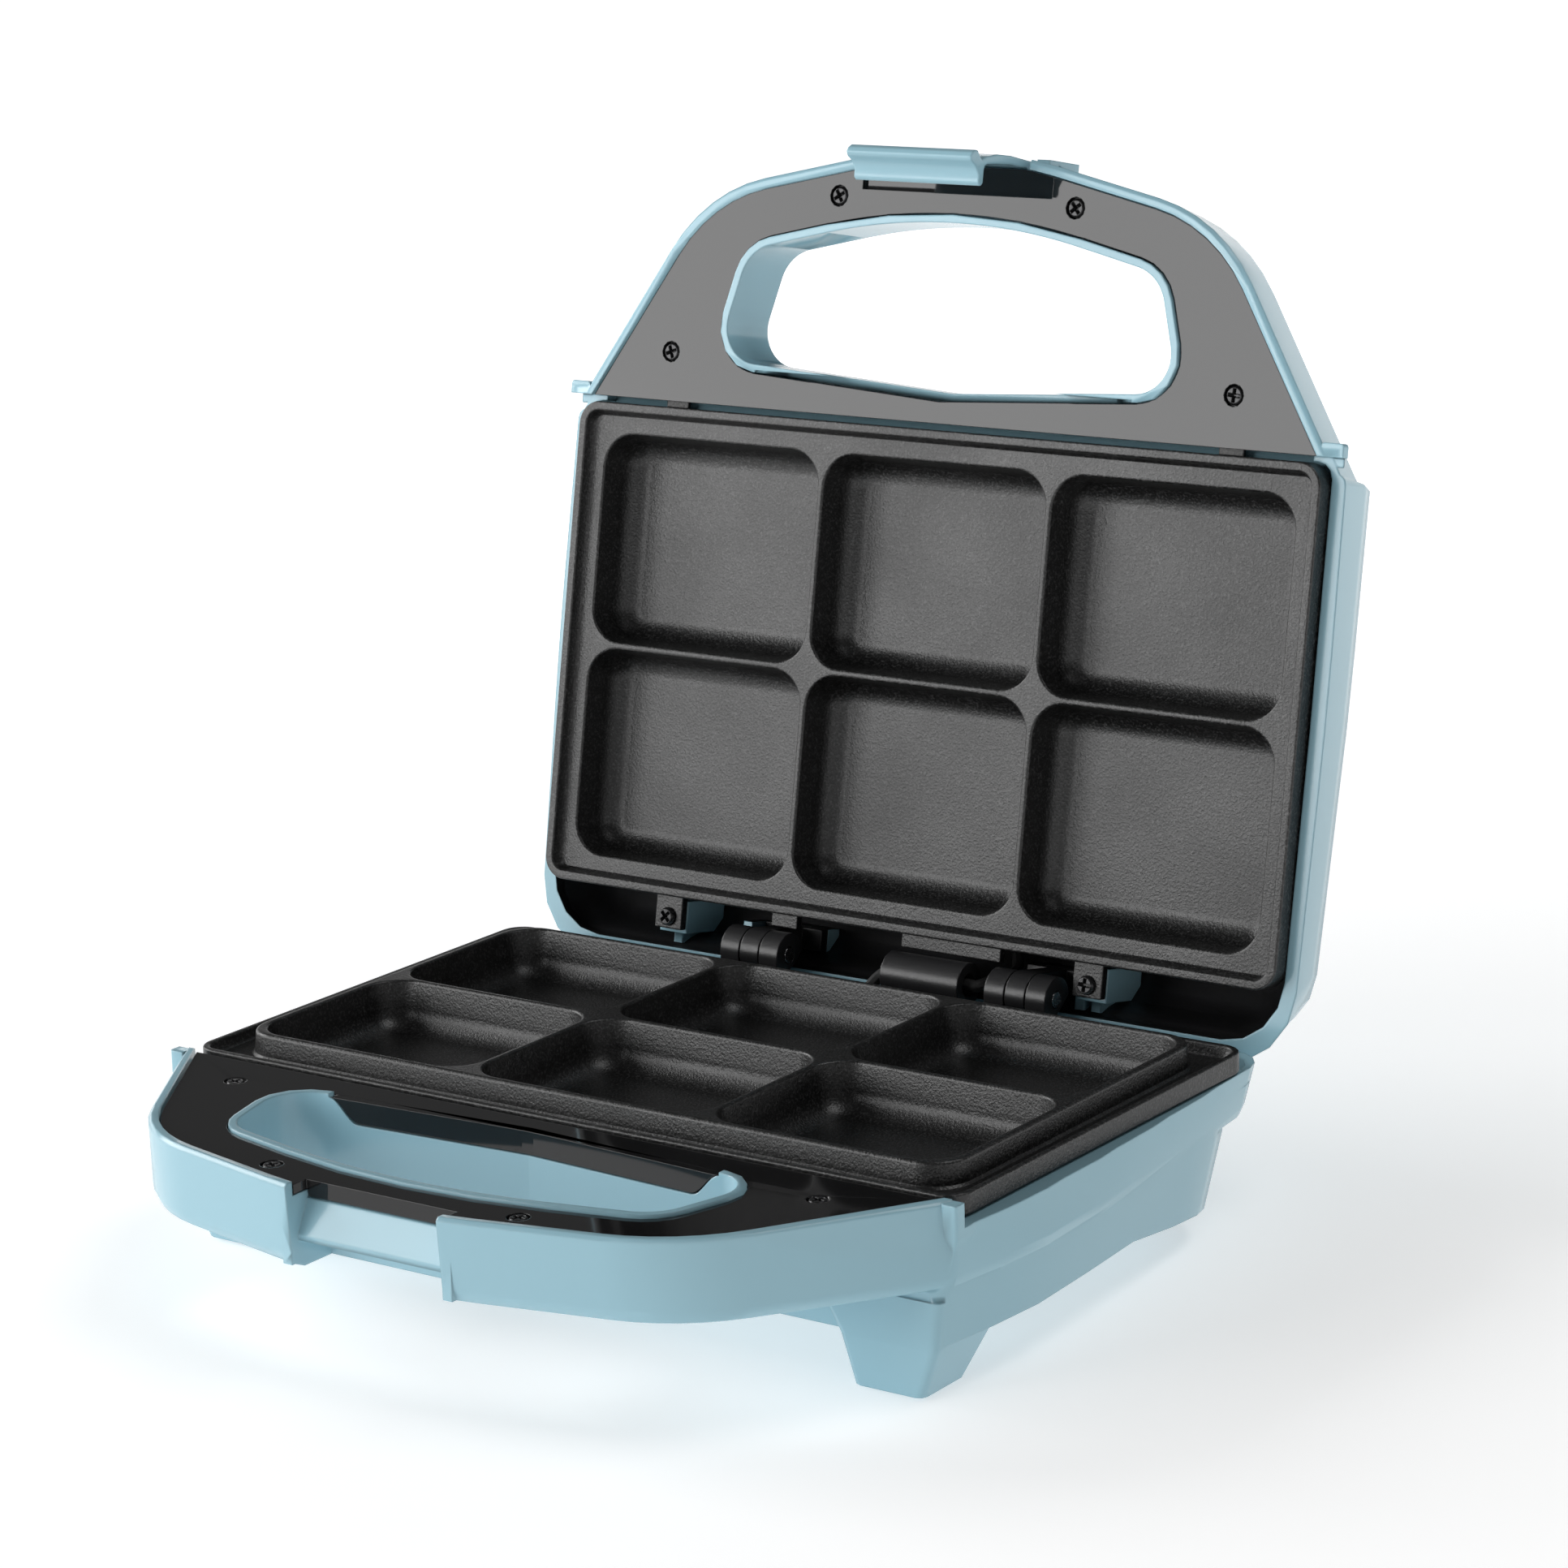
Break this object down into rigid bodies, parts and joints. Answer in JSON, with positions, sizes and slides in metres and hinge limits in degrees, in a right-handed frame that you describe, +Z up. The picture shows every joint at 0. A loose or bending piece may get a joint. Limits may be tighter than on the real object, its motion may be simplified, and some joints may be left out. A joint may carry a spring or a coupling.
{
  "type": "electric cake maker",
  "caption": "Clamshell electric cake maker, shown open: pale blue shells with loop handles, dark cast plates with rectangular cavities, a front latch and a rear hinge.",
  "frame": {"origin": "bottom centre of the bounding box with the lid open, on the worktop plane", "axes": "+X to the right as the user faces the handles, +Y away from the user towards the hinge, +Z up"},
  "size_m": [0.2304, 0.2612, 0.2508],
  "materials": {
    "blue_plastic": "gloss, pale blue",
    "black_gloss": "mirror gloss, black",
    "black_plastic": "satin, black",
    "coated_metal": "cast, with a speckled dark non-stick coat",
    "black_steel": "blackened screw steel",
    "bright_steel": "zinc plated",
    "sheath_metal": "heat-darkened tube",
    "tin_sheet": "pressed sheet",
    "ceramic": "unglazed ceramic",
    "black_rubber": "matt",
    "white_plastic": "satin",
    "red_lens": "clear tinted",
    "green_lens": "clear tinted"
  },
  "bodies": {
    "base": {"base_shell": "blue_plastic", "base_handle_panel": "black_gloss", "lower_baking_plate": "coated_metal", "base_panel_screw_1": "black_steel", "base_panel_screw_2": "black_steel", "base_panel_screw_3": "black_steel", "base_panel_screw_4": "black_steel", "lower_plate_screw_1": "bright_steel", "lower_plate_screw_2": "bright_steel", "lower_plate_screw_3": "bright_steel", "lower_plate_screw_4": "bright_steel", "lower_heating_element": "sheath_metal", "lower_element_clamp_front": "bright_steel", "lower_element_clamp_side_1": "bright_steel", "lower_element_clamp_side_2": "bright_steel", "lower_heat_shield": "tin_sheet", "hinge_block_left": "black_plastic", "hinge_pin_left": "bright_steel", "hinge_block_right": "black_plastic", "hinge_pin_right": "bright_steel", "lead_guard": "black_plastic", "base_lead": "black_rubber", "terminal_block": "white_plastic", "cord_gland": "black_rubber", "foot_pad_front_right": "black_rubber", "foot_pad_front_left": "black_rubber", "foot_pad_rear_right": "black_rubber", "foot_pad_rear_left": "black_rubber"},
    "lid": {"lid_shell": "blue_plastic", "lid_handle_panel": "black_gloss", "upper_baking_plate": "coated_metal", "lid_panel_screw_1": "black_steel", "lid_panel_screw_2": "black_steel", "lid_panel_screw_3": "black_steel", "lid_panel_screw_4": "black_steel", "upper_plate_screw_1": "black_steel", "upper_plate_screw_2": "black_steel", "upper_heating_element": "sheath_metal", "upper_element_clamp_front": "bright_steel", "upper_element_clamp_side_1": "bright_steel", "upper_element_clamp_side_2": "bright_steel", "upper_heat_shield": "tin_sheet", "thermostat": "ceramic", "thermal_fuse": "ceramic", "power_light_lens": "red_lens", "ready_light_lens": "green_lens", "hinge_arm_left": "black_plastic", "hinge_arm_right": "black_plastic", "lid_lead": "black_rubber", "latch_pin": "bright_steel"},
    "latch": {"latch": "blue_plastic"}
  },
  "joints": [
    {"name": "lid_hinge", "type": "hinge", "parent": "base", "child": "lid", "pos_m": [0, 0.07354, 0.0464], "axis": [1, 0, 0], "range_deg": [0, 100.9]},
    {"name": "latch_pivot", "type": "hinge", "parent": "lid", "child": "latch", "pos_m": [0, 0.12064, 0.24284], "axis": [-1, 0, 0], "range_deg": [0, 35]}
  ]
}
